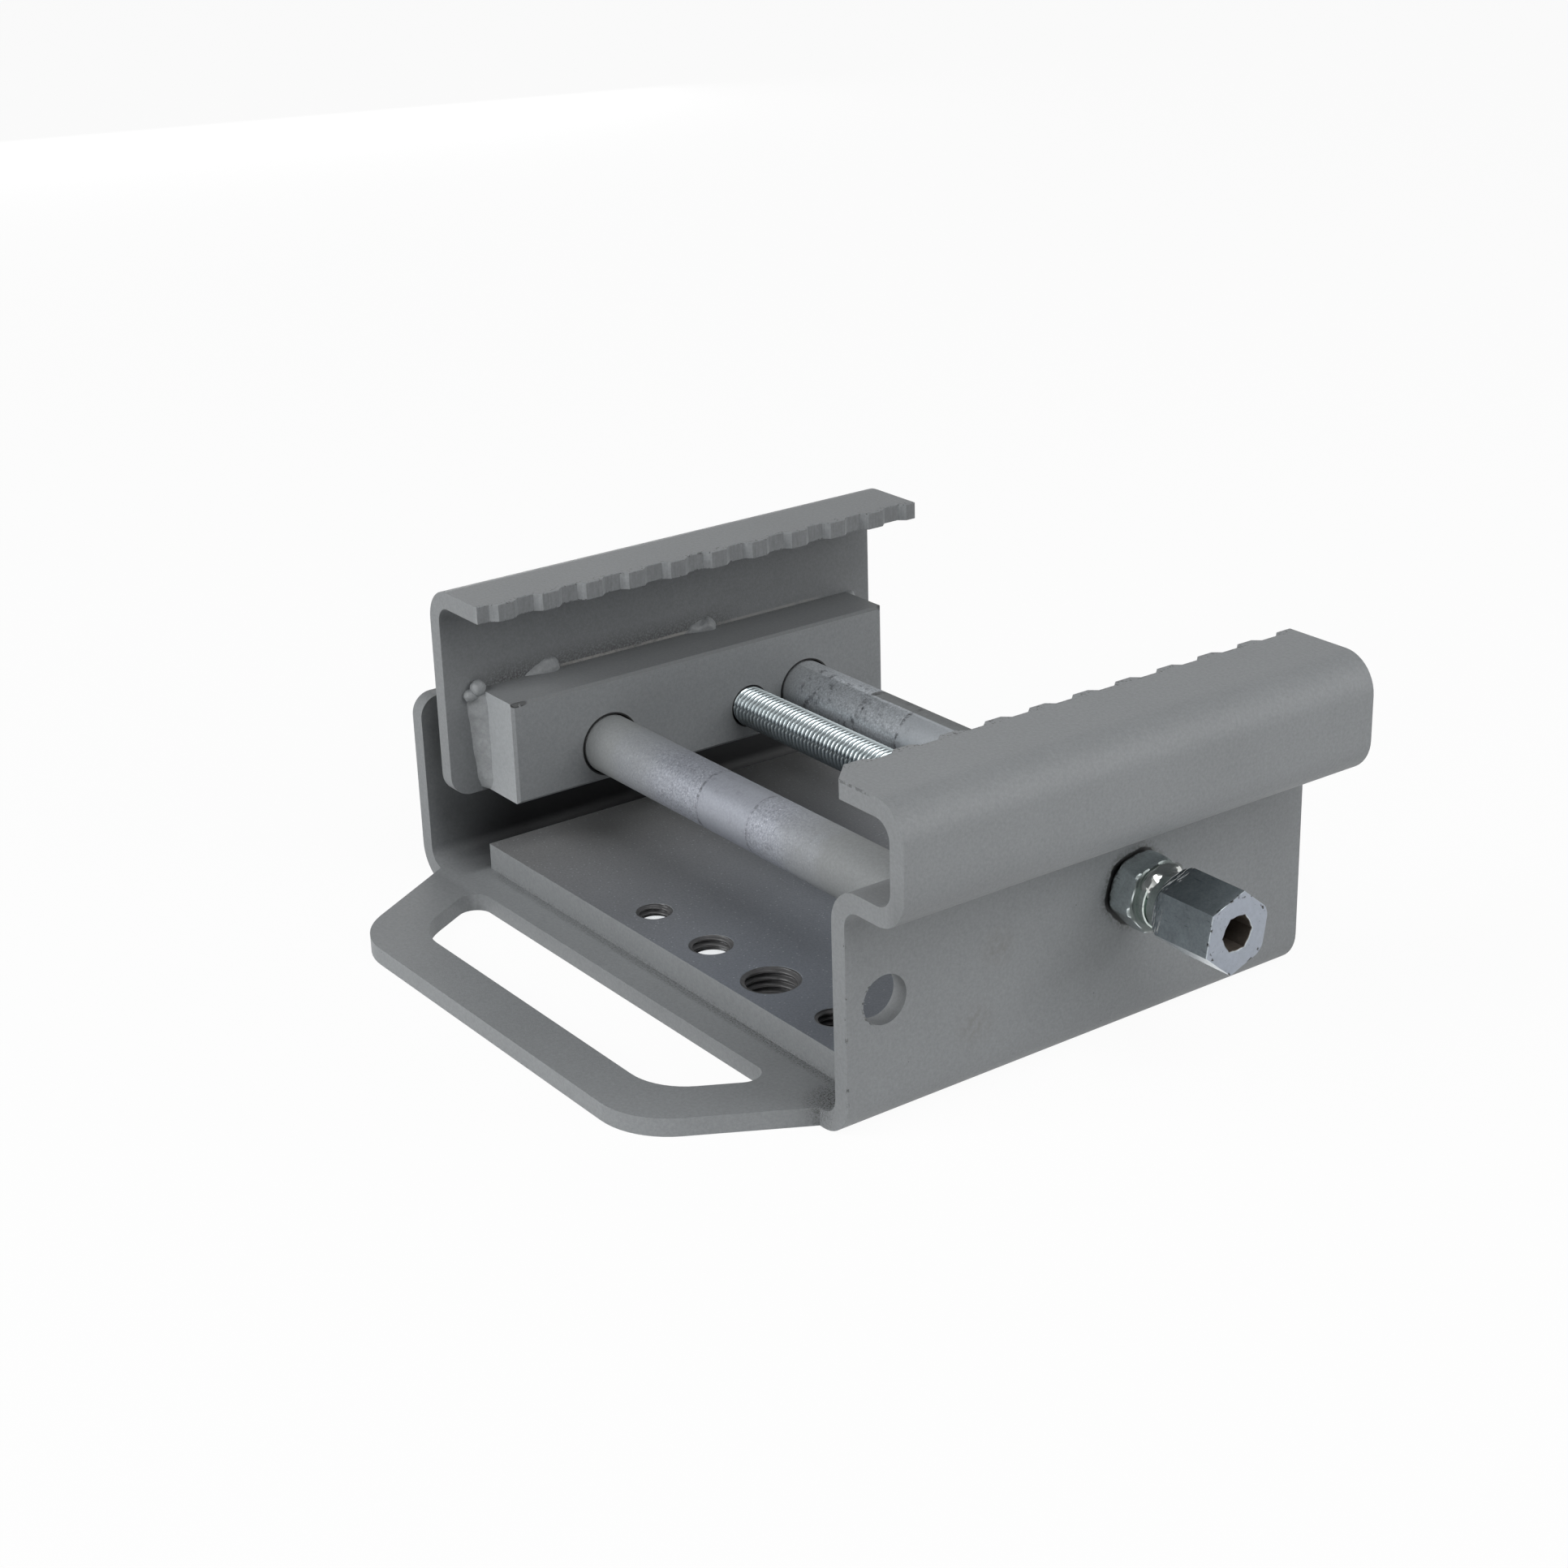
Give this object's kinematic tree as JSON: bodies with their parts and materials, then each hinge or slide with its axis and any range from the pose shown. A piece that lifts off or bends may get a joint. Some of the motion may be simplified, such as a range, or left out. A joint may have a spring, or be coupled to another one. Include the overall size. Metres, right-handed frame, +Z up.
{
  "type": "tent clamp",
  "caption": "Folded steel clamp frame with a screw-driven toothed jaw that slides on guide rods, threaded holes in its base plate and a strap loop at each end.",
  "frame": {"origin": "centre of the base's underside, midway between the outer faces of the low flange and the high wall and midway along the lips", "axes": "+X along the guide rods towards the drive hexagon, +Y along the toothed lips away from the end with the plain wall hole, +Z up from the base to the lips"},
  "size_m": [0.24, 0.23, 0.094],
  "materials": {
    "frame_paint": "matte grey paint",
    "plate_paint": "matte blue-grey paint",
    "rod_steel": "satin, worn",
    "zinc_thread": "bright zinc",
    "zinc_head": "zinc, smooth",
    "bare_weld": "bright, lumpy"
  },
  "bodies": {
    "frame": {"frame_sheet": "frame_paint", "threaded_plate": "plate_paint", "guide_rod_front": "rod_steel", "guide_rod_rear": "rod_steel", "plug_weld_flange_front": "frame_paint", "plug_weld_flange_rear": "frame_paint", "plug_weld_wall_front": "frame_paint", "plug_weld_wall_rear": "frame_paint"},
    "jaw": {"jaw_sheet": "frame_paint", "jaw_block": "frame_paint", "block_weld_front": "frame_paint", "block_weld_rear": "frame_paint", "tack_weld_corner": "frame_paint", "tack_weld_front": "frame_paint", "tack_weld_rear": "frame_paint"},
    "screw": {"spindle": "zinc_thread", "head_nut": "zinc_head", "neck_weld": "bare_weld", "drive_hexagon": "zinc_head", "retaining_nut": "zinc_head"}
  },
  "joints": [
    {"name": "spindle_spin", "type": "hinge", "parent": "frame", "child": "screw", "pos_m": [0, 0.0164, 0.041], "axis": [1, 0, 0], "range_deg": [-30900, 1900]},
    {"name": "jaw_slide", "type": "slide", "parent": "frame", "child": "jaw", "axis": [1, 0, 0], "range_m": [-0.009, 0.15]}
  ],
  "couplings": [
    {"joint": "spindle_spin", "follows": "jaw_slide", "rad_per_m": -3590.4}
  ]
}
